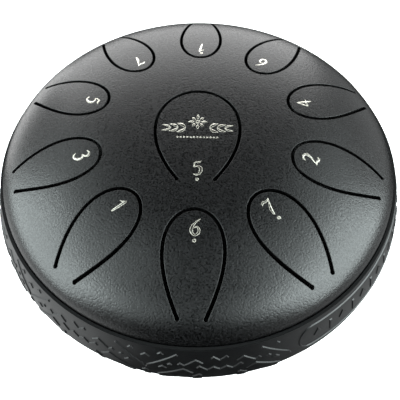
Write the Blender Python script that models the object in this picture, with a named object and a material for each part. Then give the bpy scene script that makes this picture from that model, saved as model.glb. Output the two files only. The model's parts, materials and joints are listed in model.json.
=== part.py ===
"""Steel tongue drum: two pressed steel shells bolted at a flange, with eleven tongues cut in the top one.

A rubber band covers the flange, and four rubber feet carry the drum. The origin is on the drum's axis, at
the height of the surface that it stands on. +Z is up and -Y is the player's side. Metres throughout.
"""

import math

import bmesh
import bpy
from mathutils import Matrix, Vector

# Driving dimensions
RIM_RADIUS = 0.1195  # where the dome meets the band's lip
BAND_RADIUS = 0.1302  # widest part of the band
BASE_Z = 0.0080  # underside of the bottom shell
SEAM_Z = 0.0665  # middle of the joint between the shells, and the band's widest height
RIM_Z = 0.0930  # top of the band's lip, where the dome starts
BAND_BOTTOM_Z = 0.0420
DOME_RISE = 0.0220
SHEET = 0.0015  # thickness of the pressed steel
GAP = 0.0003  # clearance kept between pieces that touch on the real drum

# Shells
SHELL_RADIUS = RIM_RADIUS - GAP
DOME_POWERS = (3.14, 1.95)  # superellipse powers of the dome, across and up
BOWL_POWERS = (2.3, 2.3)
BOWL_FLAT_RADIUS = 0.0820
BOWL_CURVE_RISE = 0.0350
SOUND_HOLE_RADIUS = 0.0300
FLANGE_RADIUS = 0.1262
GASKET = 0.0009
FLANGE_CLEARANCE = GASKET / 2 + GAP  # from the middle of the joint to each flange

# Tongues: the slot's middle line runs s = nose + (root - nose) t^2 along the tongue, and
# t * waist * (a0 + a1 t^2 + a2 t^4 + a3 t^6) across it, for t from -1 to 1
SLOT_WIDTH = 0.00175
OUTER_COUNT = 10
ROOT_RADIUS = 0.1086  # distance of the outer slots' ends from the drum's axis
OUTER_NOSE = (0.0552, 0.0604)  # lowest and highest note
OUTER_WAIST = (0.01113, 0.00963)
OUTER_ROOT_HALF = (0.00709, 0.00772)
OUTER_LEAF = (3.155, -2.150, -0.644)
CENTRE_NOSE = -0.0276
CENTRE_ROOT = 0.0366
CENTRE_WAIST = 0.0179
CENTRE_ROOT_HALF = 0.01065
CENTRE_LEAF = (3.022, -2.056, -0.048)
# Outer tongues anticlockwise from the player's side, with their places in the scale from the lowest note
OUTER_NAMES = ("b3", "cs4", "e4", "g4", "b4", "d5", "cs5", "a4", "fs4", "d4")
OUTER_RANKS = (0, 1, 3, 5, 7, 9, 8, 6, 4, 2)

# Band
LIP_RADIUS = 0.1215
LIP_HEIGHT = 0.0010
BULGE_POWER = 1.6  # 1 makes the band's outside two straight slopes, and 2 a parabola
CHANNEL_RADIUS = 0.1270
CHANNEL_HALF = 0.0062

# Fasteners and feet
FLANGE_SCREWS = 8
FLANGE_SCREW_RADIUS = 0.1228
FLANGE_SCREW_START = math.radians(22.5)
FLANGE_THREAD = 0.0015  # M3
FLANGE_HEAD = (0.00275, 0.0020)
FLANGE_SHANK = 0.0085
FLANGE_NUT = (0.00275, 0.0024)  # half the width across flats, height
FEET = 4
FOOT_START = math.radians(45)
FOOT_CIRCLE = 0.0690
FOOT_TOP_RADIUS = 0.0110
FOOT_BOTTOM_RADIUS = 0.0098
FOOT_EDGE = 0.0008
FOOT_RECESS_RADIUS = 0.0048
FOOT_RECESS = 0.0038
FOOT_THREAD = 0.0020  # M4
FOOT_HEAD = (0.0040, 0.0024)
FOOT_SHANK = 0.0105
FOOT_NUT = (0.0035, 0.0032)
HOLE_CLEARANCE = 0.0003

# Facets
TURNED_STEPS = 48
DOME_RINGS = 10
BOWL_RINGS = 6
BAND_RINGS = 8
TONGUE_SAMPLES = 20
SMALL_STEPS = 12
FOOT_STEPS = 16
SHARP_ANGLE = math.radians(35)
WELD = 1e-6


def clear_scene():
    for obj in list(bpy.data.objects):
        bpy.data.objects.remove(obj, do_unlink=True)


def make_material(name, colour, roughness, metallic):
    material = bpy.data.materials.new(name)
    material.use_nodes = True
    shader = material.node_tree.nodes["Principled BSDF"]
    shader.inputs["Base Color"].default_value = (*colour, 1)
    shader.inputs["Roughness"].default_value = roughness
    shader.inputs["Metallic"].default_value = metallic
    material.diffuse_color = (*colour, 1)
    return material


def add_object(name, mesh, material, location=(0, 0, 0), turn=0):
    obj = bpy.data.objects.new(name, mesh)
    obj.location = location
    obj.rotation_euler = (0, 0, turn)
    if material and not mesh.materials:
        mesh.materials.append(material)
    bpy.context.collection.objects.link(obj)
    return obj


def finish_mesh(bm, name):
    """Turns a bmesh into a smooth-shaded mesh with its faces pointing out."""
    bmesh.ops.remove_doubles(bm, verts=bm.verts, dist=WELD)
    bmesh.ops.recalc_face_normals(bm, faces=bm.faces)
    mesh = bpy.data.meshes.new(name)
    bm.to_mesh(mesh)
    bm.free()
    mesh.shade_smooth()
    mesh.set_sharp_from_angle(angle=SHARP_ANGLE)
    return mesh


def turned_mesh(name, profile, steps, closed=False):
    """Spins (radius, height) points round Z. An open profile starts and ends on the axis."""
    bm = bmesh.new()
    verts = [bm.verts.new((r, 0, z)) for r, z in profile]
    edges = [bm.edges.new(pair) for pair in zip(verts, verts[1:])]
    if closed:
        edges.append(bm.edges.new((verts[-1], verts[0])))
    bmesh.ops.spin(
        bm, geom=verts + edges, axis=(0, 0, 1), cent=(0, 0, 0), angle=math.tau, steps=steps, use_merge=True
    )
    return finish_mesh(bm, name)


def add_prism(bm, outline, low, high):
    """Adds an upright prism over an outline of (x, y) points."""
    face = bm.faces.new([bm.verts.new((x, y, low)) for x, y in outline])
    grown = bmesh.ops.extrude_face_region(bm, geom=[face], use_keep_orig=True)["geom"]
    top = [v for v in grown if isinstance(v, bmesh.types.BMVert)]
    bmesh.ops.translate(bm, verts=top, vec=(0, 0, high - low))


def prism_mesh(name, outlines, low, high):
    bm = bmesh.new()
    for outline in outlines:
        add_prism(bm, outline, low, high)
    return finish_mesh(bm, name)


def circle(radius, count, centre=(0, 0), start=0.0):
    angles = [start + math.tau * i / count for i in range(count)]
    return [(centre[0] + radius * math.cos(a), centre[1] + radius * math.sin(a)) for a in angles]


def ring_places(count, radius, start):
    """(x, y, angle) of pieces spread evenly round the drum's axis."""
    return [(x, y, math.atan2(y, x)) for x, y in circle(radius, count, start=start)]


def add_boolean(obj, cutter, operation="DIFFERENCE"):
    modifier = obj.modifiers.new(cutter.name, "BOOLEAN")
    modifier.operation = operation
    modifier.solver = "EXACT"
    modifier.object = cutter


def add_cutter(name, mesh):
    cutter = add_object(name, mesh, None)
    cutter.hide_render = True
    cutter.display_type = "WIRE"
    return cutter


def evaluated_copy(obj, name):
    """The object's mesh with its modifiers applied, for pieces that share one mesh."""
    bpy.context.view_layer.update()
    graph = bpy.context.evaluated_depsgraph_get()
    mesh = bpy.data.meshes.new_from_object(obj.evaluated_get(graph))
    mesh.name = name
    return mesh


def superellipse(width, height, powers, rings):
    """(across, up, normal) points of a quarter superellipse, from its top to its side."""
    across, up = powers
    points = []
    for i in range(rings + 1):
        angle = math.pi / 2 * i / rings
        x = math.sin(angle) ** (2 / across)
        y = max(math.cos(angle), 0.0) ** (2 / up)
        normal = Vector((across * x ** (across - 1) / width, up * y ** (up - 1) / height)).normalized()
        points.append((width * x, height * y, normal))
    return points


def top_shell_profile():
    """The dome, its wall and its flange, down the outside and back up the inside."""
    dome = superellipse(SHELL_RADIUS, DOME_RISE, DOME_POWERS, DOME_RINGS)
    flange_low = SEAM_Z + FLANGE_CLEARANCE
    flange_high = flange_low + SHEET
    outside = [(r, RIM_Z + z) for r, z, _ in dome]
    inside = [(r - SHEET * n.x, RIM_Z + z - SHEET * n.y) for r, z, n in reversed(dome)]
    flange = [
        (SHELL_RADIUS, flange_high),
        (FLANGE_RADIUS, flange_high),
        (FLANGE_RADIUS, flange_low),
        (SHELL_RADIUS - SHEET, flange_low),
    ]
    inside[-1] = (0, inside[-1][1])
    return outside + flange + inside


def bottom_shell_profile():
    """The bowl with its sound hole, from the hole's edge along the outside, and back along the inside."""
    curve = superellipse(SHELL_RADIUS - BOWL_FLAT_RADIUS, BOWL_CURVE_RISE, BOWL_POWERS, BOWL_RINGS)
    flange_high = SEAM_Z - FLANGE_CLEARANCE
    flange_low = flange_high - SHEET
    curve_z = BASE_Z + BOWL_CURVE_RISE
    outside = [(BOWL_FLAT_RADIUS + r, curve_z - z) for r, z, _ in curve]
    inside = [(BOWL_FLAT_RADIUS + r - SHEET * n.x, curve_z - z + SHEET * n.y) for r, z, n in reversed(curve)]
    flange = [
        (SHELL_RADIUS, flange_low),
        (FLANGE_RADIUS, flange_low),
        (FLANGE_RADIUS, flange_high),
        (SHELL_RADIUS - SHEET, flange_high),
    ]
    hole_edge = [(SOUND_HOLE_RADIUS, BASE_Z + SHEET), (SOUND_HOLE_RADIUS, BASE_Z)]
    return outside + flange + inside + hole_edge


def band_profile():
    """The band's bulging outside, from the lip down, and its inside with the channel for the flange."""
    top = RIM_Z - LIP_HEIGHT
    outside = [(LIP_RADIUS, RIM_Z)]
    for i in range(BAND_RINGS + 1):
        z = top + (BAND_BOTTOM_Z - top) * i / BAND_RINGS
        height = top - SEAM_Z if z > SEAM_Z else SEAM_Z - BAND_BOTTOM_Z
        bulge = 1 - abs((z - SEAM_Z) / height) ** BULGE_POWER
        outside.append((LIP_RADIUS + (BAND_RADIUS - LIP_RADIUS) * bulge, z))
    inside = [
        (RIM_RADIUS, BAND_BOTTOM_Z),
        (RIM_RADIUS, SEAM_Z - CHANNEL_HALF),
        (CHANNEL_RADIUS, SEAM_Z - CHANNEL_HALF),
        (CHANNEL_RADIUS, SEAM_Z + CHANNEL_HALF),
        (RIM_RADIUS, SEAM_Z + CHANNEL_HALF),
        (RIM_RADIUS, RIM_Z),
    ]
    return outside + inside


def rectangle_profile(inner, outer, low, high):
    return [(outer, high), (outer, low), (inner, low), (inner, high)]


def slot_line(tongue, offset):
    """(along, across) points beside a slot's middle line, offset away from the tongue."""
    a0, a1, a2 = tongue["leaf"]
    waist, reach = tongue["waist"], tongue["root"] - tongue["nose"]
    a3 = tongue["root_half"] / waist - (a0 + a1 + a2)
    points = []
    for i in range(TONGUE_SAMPLES + 1):
        t = 2 * i / TONGUE_SAMPLES - 1
        u = t * t
        along = tongue["nose"] + reach * u
        across = waist * t * (a0 + a1 * u + a2 * u**2 + a3 * u**3)
        slope = Vector((2 * reach * t, waist * (a0 + 3 * a1 * u + 5 * a2 * u**2 + 7 * a3 * u**3)))
        slope.normalize()
        points.append((along - offset * slope.y, across + offset * slope.x))
    return points


def tongue_outline(tongue, offset, root):
    """A closed (x, y) outline in the drum's frame, with its straight side at the root."""
    points = slot_line(tongue, offset)
    points[0] = (root, points[0][1])
    points[-1] = (root, points[-1][1])
    turn = Matrix.Rotation(tongue["angle"], 2)
    return [tuple(turn @ Vector(point)) for point in points]


def dome_height(radius):
    across, up = DOME_POWERS
    return RIM_Z + DOME_RISE * (1 - (radius / SHELL_RADIUS) ** across) ** (1 / up)


def tongue_list():
    """Every tongue's name, direction and size. nose and root are distances from the drum's axis."""
    tongues = [
        {
            "name": "tongue_a3_centre",
            "angle": -math.pi / 2,
            "nose": CENTRE_NOSE,
            "root": CENTRE_ROOT,
            "waist": CENTRE_WAIST,
            "root_half": CENTRE_ROOT_HALF,
            "leaf": CENTRE_LEAF,
        }
    ]
    for k, (note, rank) in enumerate(zip(OUTER_NAMES, OUTER_RANKS)):
        part = rank / (OUTER_COUNT - 1)
        nose, waist, root_half = (
            low + (high - low) * part for low, high in (OUTER_NOSE, OUTER_WAIST, OUTER_ROOT_HALF)
        )
        tongues.append(
            {
                "name": "tongue_" + note,
                "angle": -math.pi / 2 + math.tau * k / OUTER_COUNT,
                "nose": nose,
                "root": math.sqrt(ROOT_RADIUS**2 - root_half**2),
                "waist": waist,
                "root_half": root_half,
                "leaf": OUTER_LEAF,
            }
        )
    return tongues


def hinge_point(tongue):
    """The middle of the tongue's root line, half way through the sheet."""
    root = tongue["root"] - GAP / 2
    return Vector((root * math.cos(tongue["angle"]), root * math.sin(tongue["angle"]), dome_height(root) - SHEET / 2))


def build_top(steel):
    """The top shell with its openings, and the eleven tongues, each with its origin on its root line."""
    tongues = tongue_list()
    sheet = turned_mesh("top_shell", top_shell_profile(), TURNED_STEPS)
    outlines = [tongue_outline(t, SLOT_WIDTH / 2, t["root"]) for t in tongues]
    low, high = RIM_Z, RIM_Z + 2 * DOME_RISE
    shell = add_object("top_shell", sheet, steel)
    add_boolean(shell, add_cutter("tongue_openings", prism_mesh("tongue_openings", outlines, low, high)))
    for tongue in tongues:
        outline = tongue_outline(tongue, -SLOT_WIDTH / 2, tongue["root"] - GAP)
        origin = hinge_point(tongue)
        mesh = sheet.copy()
        mesh.transform(Matrix.Translation(-origin))
        piece = add_object(tongue["name"], mesh, steel, origin)
        cutter = add_cutter(tongue["name"] + "_outline", prism_mesh(tongue["name"], [outline], low, high))
        add_boolean(piece, cutter, "INTERSECT")
    return shell


def drill_flange(pieces):
    """Cuts the flange screws' holes through both flanges and the gasket."""
    places = ring_places(FLANGE_SCREWS, FLANGE_SCREW_RADIUS, FLANGE_SCREW_START)
    outlines = [circle(FLANGE_THREAD + HOLE_CLEARANCE, SMALL_STEPS, (x, y)) for x, y, _ in places]
    reach = CHANNEL_HALF
    cutter = add_cutter(
        "flange_holes", prism_mesh("flange_holes", outlines, SEAM_Z - reach, SEAM_Z + reach)
    )
    for piece in pieces:
        add_boolean(piece, cutter)


def screw_mesh(name, head, thread, shank):
    """A pan-head screw, head up, with the underside of its head at the origin and a hexagon socket."""
    radius, height = head
    crown = 0.3 * height
    profile = [
        (0, height),
        (radius - crown, height),
        (radius, height - crown),
        (radius, 0),
        (thread, 0),
        (thread, thread / 3 - shank),
        (thread * 2 / 3, -shank),
        (0, -shank),
    ]
    plain = add_object(name + "_plain", turned_mesh(name, profile, SMALL_STEPS), None)
    socket = circle(0.45 * radius, 6)
    cutter = add_cutter(name + "_socket", prism_mesh(name, [socket], 0.4 * height, 2 * height))
    add_boolean(plain, cutter)
    mesh = evaluated_copy(plain, name)
    for helper in (plain, cutter):
        bpy.data.objects.remove(helper)
    return mesh


def nut_mesh(name, nut, thread):
    """A hexagon nut standing on the origin, with its bore clear of the thread."""
    half_flats, height = nut
    corner = half_flats / math.cos(math.pi / 6)
    plain = add_object(name + "_plain", prism_mesh(name, [circle(corner, 6)], 0, height), None)
    bore = circle(thread + HOLE_CLEARANCE, SMALL_STEPS)
    cutter = add_cutter(name + "_bore", prism_mesh(name, [bore], -height, 2 * height))
    add_boolean(plain, cutter)
    mesh = evaluated_copy(plain, name)
    for helper in (plain, cutter):
        bpy.data.objects.remove(helper)
    return mesh


def build_flange_fasteners(zinc):
    screw = screw_mesh("flange_screw", FLANGE_HEAD, FLANGE_THREAD, FLANGE_SHANK)
    nut = nut_mesh("flange_nut", FLANGE_NUT, FLANGE_THREAD)
    face = FLANGE_CLEARANCE + SHEET + GAP
    for i, (x, y, angle) in enumerate(ring_places(FLANGE_SCREWS, FLANGE_SCREW_RADIUS, FLANGE_SCREW_START)):
        add_object(f"flange_screw_{i + 1}", screw, zinc, (x, y, SEAM_Z + face), angle)
        add_object(f"flange_nut_{i + 1}", nut, zinc, (x, y, SEAM_Z - face - FLANGE_NUT[1]), angle)


def foot_mesh():
    """A tapered foot with a recess for its screw's head, standing on the origin."""
    top = BASE_Z - GAP
    bore = FOOT_THREAD + HOLE_CLEARANCE
    profile = [
        (FOOT_TOP_RADIUS, top),
        (FOOT_BOTTOM_RADIUS, FOOT_EDGE),
        (FOOT_BOTTOM_RADIUS - FOOT_EDGE, 0),
        (FOOT_RECESS_RADIUS, 0),
        (FOOT_RECESS_RADIUS, FOOT_RECESS),
        (bore, FOOT_RECESS),
        (bore, top),
    ]
    return turned_mesh("foot", profile, FOOT_STEPS, closed=True)


def build_feet(bowl, rubber, zinc):
    """The feet under the bowl, their screws and nuts, and the bowl's holes for them."""
    places = ring_places(FEET, FOOT_CIRCLE, FOOT_START)
    holes = [circle(FOOT_THREAD + HOLE_CLEARANCE, SMALL_STEPS, (x, y)) for x, y, _ in places]
    cutter = prism_mesh("foot_holes", holes, 0, BASE_Z + 2 * SHEET)
    add_boolean(bowl, add_cutter("foot_holes", cutter))
    foot = foot_mesh()
    screw = screw_mesh("foot_screw", FOOT_HEAD, FOOT_THREAD, FOOT_SHANK)
    screw.transform(Matrix.Rotation(math.pi, 4, "X"))
    nut = nut_mesh("foot_nut", FOOT_NUT, FOOT_THREAD)
    for i, (x, y, angle) in enumerate(places):
        add_object(f"foot_{i + 1}", foot, rubber, (x, y, 0), angle)
        add_object(f"foot_screw_{i + 1}", screw, zinc, (x, y, FOOT_RECESS - GAP), angle)
        add_object(f"foot_nut_{i + 1}", nut, zinc, (x, y, BASE_Z + SHEET + GAP), angle)


def main():
    clear_scene()
    steel = make_material("powder_coated_steel", (0.012, 0.013, 0.015), 0.42, 0.3)
    rubber = make_material("black_rubber", (0.02, 0.02, 0.021), 0.6, 0.0)
    gasket_rubber = make_material("gasket_rubber", (0.03, 0.03, 0.03), 0.8, 0.0)
    zinc = make_material("zinc_plated_steel", (0.6, 0.61, 0.63), 0.35, 1.0)

    top = build_top(steel)
    bowl_mesh = turned_mesh("bottom_shell", bottom_shell_profile(), TURNED_STEPS, closed=True)
    bowl = add_object("bottom_shell", bowl_mesh, steel)
    band = turned_mesh("rim_band", band_profile(), TURNED_STEPS, closed=True)
    add_object("rim_band", band, rubber)
    ring = rectangle_profile(SHELL_RADIUS - SHEET, FLANGE_RADIUS, SEAM_Z - GASKET / 2, SEAM_Z + GASKET / 2)
    gasket_mesh = turned_mesh("seam_gasket", ring, TURNED_STEPS, closed=True)
    gasket = add_object("seam_gasket", gasket_mesh, gasket_rubber)
    drill_flange((top, bowl, gasket))
    build_flange_fasteners(zinc)
    build_feet(bowl, rubber, zinc)


main()
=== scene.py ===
"""Looks of the steel tongue drum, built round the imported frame. Metres, +Z up, -Y towards the player."""
import json
import math

import bpy
import numpy as np
from mathutils import Matrix, Vector
from mathutils.geometry import delaunay_2d_cdt


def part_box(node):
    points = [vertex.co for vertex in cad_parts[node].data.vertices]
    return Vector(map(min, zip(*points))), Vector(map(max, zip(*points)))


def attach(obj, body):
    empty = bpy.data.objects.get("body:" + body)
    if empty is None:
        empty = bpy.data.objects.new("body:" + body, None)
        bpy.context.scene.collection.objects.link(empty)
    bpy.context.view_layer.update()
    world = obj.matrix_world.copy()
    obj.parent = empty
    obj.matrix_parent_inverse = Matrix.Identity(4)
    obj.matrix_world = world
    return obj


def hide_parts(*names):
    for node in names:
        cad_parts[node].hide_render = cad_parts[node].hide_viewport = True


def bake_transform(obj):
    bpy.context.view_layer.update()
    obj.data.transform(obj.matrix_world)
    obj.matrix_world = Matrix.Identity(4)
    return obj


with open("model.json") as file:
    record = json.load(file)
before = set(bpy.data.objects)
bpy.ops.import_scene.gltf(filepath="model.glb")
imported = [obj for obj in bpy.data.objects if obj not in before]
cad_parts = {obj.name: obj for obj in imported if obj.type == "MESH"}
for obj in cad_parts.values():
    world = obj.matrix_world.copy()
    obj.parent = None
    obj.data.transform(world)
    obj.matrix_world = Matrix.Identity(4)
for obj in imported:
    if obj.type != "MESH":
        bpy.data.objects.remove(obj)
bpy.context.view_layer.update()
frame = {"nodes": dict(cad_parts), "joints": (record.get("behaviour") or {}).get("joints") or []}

# Sizes read from the frame
band_low, band_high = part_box("rim_band")
gasket_low, gasket_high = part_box("seam_gasket")
RIM_Z = band_high.z
BAND_BOTTOM_Z = band_low.z
BAND_RADIUS = band_high.x
MARK_ROOM = 0.00006  # keeps the marks' raised edges under the solids' height
DOME_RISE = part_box("tongue_a3_centre")[1].z - RIM_Z - MARK_ROOM
FLANGE_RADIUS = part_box("top_shell")[1].x
SEAM_Z = (gasket_low.z + gasket_high.z) / 2
BASE_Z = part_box("bottom_shell")[0].z

# Sizes shared with the solids' design
SHEET = 0.0015  # thickness of the pressed steel
GAP = 0.0003  # clearance kept between pieces that touch on the real drum
FLANGE_REACH = 0.0070
SHELL_RADIUS = FLANGE_RADIUS - FLANGE_REACH
RIM_RADIUS = SHELL_RADIUS + GAP
HALF_JOINT = (gasket_high.z - gasket_low.z) / 2 + GAP  # from the middle of the joint to each flange
DOME_POWERS = (3.14, 1.95)  # superellipse powers, across and up
BOWL_POWERS = (2.3, 2.3)
BOWL_FLAT_RADIUS = 0.0820
BOWL_CURVE_RISE = 0.0350
SOUND_HOLE_RADIUS = 0.0300
LIP_RADIUS = 0.1215
LIP_HEIGHT = 0.0010
BULGE_POWER = 1.6  # 1 makes the band's outside two straight slopes, and 2 a parabola
CHANNEL_RADIUS = 0.1270
CHANNEL_HALF = 0.0062

# Tongues: the slot's middle line runs s = nose + (root - nose) t^2 along the tongue, and
# t * waist * (a0 + a1 t^2 + a2 t^4 + a3 t^6) across it, for t from -1 to 1
SLOT_WIDTH = 0.00200
SLOT_END_SWELL = 1.18  # the slots' round ends over their width
EDGE_ROUND = 0.00020
SCALE_NOTES = ("b3", "cs4", "d4", "e4", "fs4", "g4", "a4", "b4", "cs5", "d5")
OUTER_NOSE = (0.0552, 0.0604)  # lowest and highest note
OUTER_WAIST = (0.01113, 0.00963)
OUTER_ROOT_HALF = (0.00709, 0.00772)
OUTER_LEAF = (3.155, -2.150, -0.644)
CENTRE_NAME = "tongue_a3_centre"
CENTRE_NOSE = -0.0276
CENTRE_WAIST = 0.0179
CENTRE_ROOT_HALF = 0.01065
CENTRE_LEAF = (3.022, -2.056, -0.048)

# Mesh fineness
TURNED_STEPS = 240
PLATE_RADIUS = 0.1125  # where the slotted middle meets the turned shoulder
PLATE_SPACING = 0.0026
BORDER_CLEARANCE = 0.45  # of the spacing, kept between the grid and an outline
SHOULDER_RINGS = 16
SLOT_SAMPLES = 90
ROOT_SAMPLES = 14
END_SAMPLES = 9
BOWL_RINGS = 20
SHARP = math.radians(32)
TINY_LENGTH = 1e-9
TINY_AREA = 1e-12


# ---------------- meshes

class Shape:
    """Collects points, faces and, where they are known, the faces' corner normals."""

    def __init__(self):
        self.points = []
        self.faces = []
        self.normals = []
        self.looks = []

    def add_points(self, points):
        first = len(self.points)
        self.points.extend(tuple(map(float, p)) for p in points)
        return np.arange(first, len(self.points))

    def add_face(self, corners, normals=None, look=0):
        self.faces.append([int(c) for c in corners])
        self.looks.append(look)
        if normals is None:
            normals = [(0.0, 0.0, 0.0)] * len(corners)
        self.normals.append([tuple(map(float, n)) for n in normals])

    def to_object(self, name, *materials):
        mesh = bpy.data.meshes.new(name)
        mesh.from_pydata(self.points, [], self.faces)
        mesh.shade_smooth()
        mesh.set_sharp_from_angle(angle=SHARP)
        corners = [n for face in self.normals for n in face]
        if any(any(n) for n in corners):
            mesh.normals_split_custom_set(corners)
        for material in materials:
            mesh.materials.append(material)
        mesh.polygons.foreach_set("material_index", self.looks)
        obj = bpy.data.objects.new(name, mesh)
        bpy.context.scene.collection.objects.link(obj)
        return obj


def ring_points(radius, z, steps=TURNED_STEPS, start=0.0):
    angles = start + np.arange(steps) * math.tau / steps
    return np.stack([radius * np.cos(angles), radius * np.sin(angles), np.full(steps, z)], axis=1)


def join_rings(shape, rings, second_look=()):
    """Faces between each ring and the next. A ring of one point closes the shape to a tip.

    The rows listed in second_look take the shape's second material.
    """
    steps = max(len(ring) for ring in rings)
    for row, (upper, lower) in enumerate(zip(rings, rings[1:])):
        look = 1 if row in second_look else 0
        for i in range(steps):
            j = (i + 1) % steps
            if len(upper) == 1:
                shape.add_face((upper[0], lower[i], lower[j]), look=look)
            elif len(lower) == 1:
                shape.add_face((upper[i], lower[0], upper[j]), look=look)
            else:
                shape.add_face((upper[i], lower[i], lower[j], upper[j]), look=look)


def add_ring(shape, radius, z, steps=TURNED_STEPS, start=0.0):
    """A ring of points, or the one point that a ring of no radius is."""
    return shape.add_points([(0, 0, z)] if radius < TINY_LENGTH else ring_points(radius, z, steps, start))


def lathe(
    shape, profile, steps=TURNED_STEPS, closed=False, first=None, last=None, start=0.0, second_look=()
):
    """Turns (radius, z) points round Z. first and last are rings that are there already."""
    rings = [first] if first is not None else []
    rings += [add_ring(shape, r, z, steps, start) for r, z in profile]
    if last is not None:
        rings.append(last)
    if closed:
        rings.append(rings[0])
    join_rings(shape, rings, second_look)


def rounded(corners, steps=4):
    """A closed (r, z) outline with each (r, z, size) corner rounded by its size."""
    out = []
    count = len(corners)
    for i, corner in enumerate(corners):
        here = Vector(corner[:2])
        before = Vector(corners[i - 1][:2]) - here
        after = Vector(corners[(i + 1) % count][:2]) - here
        start, end = here + before.normalized() * corner[2], here + after.normalized() * corner[2]
        for k in range(steps + 1):
            t = k / steps
            point = start * (1 - t) ** 2 + here * 2 * t * (1 - t) + end * t**2
            out.append(tuple(point))
    return out


def superellipse(width, height, powers, start, rings):
    """(across, up, normal across, normal up) of a quarter superellipse, from angle start to its side."""
    across, up = powers
    out = []
    for i in range(rings + 1):
        angle = start + (math.pi / 2 - start) * i / rings
        x = math.sin(angle) ** (2 / across)
        y = max(math.cos(angle), 0.0) ** (2 / up)
        normal = Vector((across * x ** (across - 1) / width, up * y ** (up - 1) / height)).normalized()
        out.append((width * x, height * y, normal.x, normal.y))
    return out


# ---------------- the dome

STEEPEST_SHARE = 0.999  # of the shell's radius, past which the dome's slope runs to infinity


def dome_z(radius):
    across, up = DOME_POWERS
    share = np.clip(np.asarray(radius, float) / SHELL_RADIUS, 0, 1)
    return RIM_Z + DOME_RISE * (1 - share**across) ** (1 / up)


def dome_slope(radius):
    across, up = DOME_POWERS
    share = np.clip(np.asarray(radius, float) / SHELL_RADIUS, 0, STEEPEST_SHARE)
    steepness = -DOME_RISE / SHELL_RADIUS * across / up
    return steepness * share ** (across - 1) * (1 - share**across) ** (1 / up - 1)


def dome_normals(flat):
    """Unit normals of the dome's outside at (x, y) points."""
    radius = np.maximum(np.hypot(flat[:, 0], flat[:, 1]), TINY_LENGTH)
    tilt = -dome_slope(radius)
    normals = np.stack([tilt * flat[:, 0] / radius, tilt * flat[:, 1] / radius, np.ones(len(flat))], axis=1)
    return normals / np.linalg.norm(normals, axis=1)[:, None]


def on_dome(flat, lift=0.0):
    """3-D points over (x, y) points, lifted along the dome's normal."""
    flat = np.asarray(flat, float).reshape(-1, 2)
    z = dome_z(np.hypot(flat[:, 0], flat[:, 1]))
    return np.column_stack([flat, z]) + dome_normals(flat) * np.reshape(lift, (-1, 1))


def under_dome(flat):
    """3-D points of the sheet's underside, straight below (x, y) points."""
    radius = np.hypot(flat[:, 0], flat[:, 1])
    return np.column_stack([flat, dome_z(radius) - SHEET * np.hypot(1, dome_slope(radius))])


# ---------------- tongue outlines

def tongue_sizes():
    """Each tongue's body name and sizes. Its direction and its root come from its joint's place."""
    ranges = {"nose": OUTER_NOSE, "waist": OUTER_WAIST, "root_half": OUTER_ROOT_HALF}
    tongues = []
    for joint in frame["joints"]:
        x, y, _ = joint["pos_m"]
        body = joint["child"]
        tongue = {"body": body, "angle": math.atan2(y, x), "root": math.hypot(x, y) + GAP / 2}
        if body == CENTRE_NAME:
            tongue.update(nose=CENTRE_NOSE, waist=CENTRE_WAIST)
            tongue.update(root_half=CENTRE_ROOT_HALF, leaf=CENTRE_LEAF)
        else:
            share = SCALE_NOTES.index(body.split("_")[1]) / (len(SCALE_NOTES) - 1)
            for key, (low, high) in ranges.items():
                tongue[key] = low + (high - low) * share
            tongue["leaf"] = OUTER_LEAF
        tongues.append(tongue)
    return tongues


def slot_line(tongue, t):
    """The slot's middle line at t as (along, across), its unit direction and its unit normal outwards."""
    a0, a1, a2 = tongue["leaf"]
    waist, reach = tongue["waist"], tongue["root"] - tongue["nose"]
    a3 = tongue["root_half"] / waist - (a0 + a1 + a2)
    u = t * t
    across = waist * t * (a0 + a1 * u + a2 * u**2 + a3 * u**3)
    point = np.stack([tongue["nose"] + reach * u, across], axis=1)
    run = np.stack([2 * reach * t, waist * (a0 + 3 * a1 * u + 5 * a2 * u**2 + 7 * a3 * u**3)], axis=1)
    run /= np.linalg.norm(run, axis=1)[:, None]
    return point, run, np.stack([-run[:, 1], run[:, 0]], axis=1)


def turned(points, angle):
    """(x, y) points turned anticlockwise round the origin."""
    c, s = math.cos(angle), math.sin(angle)
    return np.asarray(points) @ np.array([[c, s], [-s, c]])


def slot_loops(tongue):
    """The tongue's outline and its opening's, each an anticlockwise loop of wall points and edge flares.

    A flare points into the metal. It is zero on the root line, where tongue and shell are one sheet.
    """
    half = SLOT_WIDTH / 2
    t = np.linspace(-1, 1, SLOT_SAMPLES + 1)
    line, run, out = slot_line(tongue, t)
    inner, outer = line - out * half, line + out * half
    inner_flare, outer_flare = -out.copy(), out.copy()
    inner_flare[0], inner_flare[-1] = (0, 1), (0, -1)
    corner = inner[-1]
    across = np.linspace(corner[1], -corner[1], ROOT_SAMPLES + 1)[1:-1]
    root = np.stack([np.full(len(across), corner[0]), across], axis=1)
    none = np.zeros_like(root)
    swell = half * SLOT_END_SWELL
    set_out = math.sqrt(swell**2 - half**2)
    centre = line[-1] + run[-1] * set_out
    widest = math.atan2(half, -set_out)
    turn = np.linspace(widest, -widest, END_SAMPLES + 2)[1:-1]
    arc = centre + swell * (np.cos(turn)[:, None] * run[-1] + np.sin(turn)[:, None] * out[-1])
    arc_flare = (arc - centre) / swell
    mirror = np.array([1, -1])
    tongue_wall = np.concatenate([inner, root])
    tongue_flare = np.concatenate([inner_flare, none])
    hole_wall = np.concatenate([outer, arc, inner[-1:], root, inner[:1], arc[::-1] * mirror])
    hole_flare = [outer_flare, arc_flare, [(0, -1)], none, [(0, 1)], arc_flare[::-1] * mirror]
    hole_flare = np.concatenate(hole_flare)
    angle = tongue["angle"]
    return (
        (turned(tongue_wall[::-1], angle), turned(tongue_flare[::-1], angle)),
        (turned(hole_wall[::-1], angle), turned(hole_flare[::-1], angle)),
    )


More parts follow.
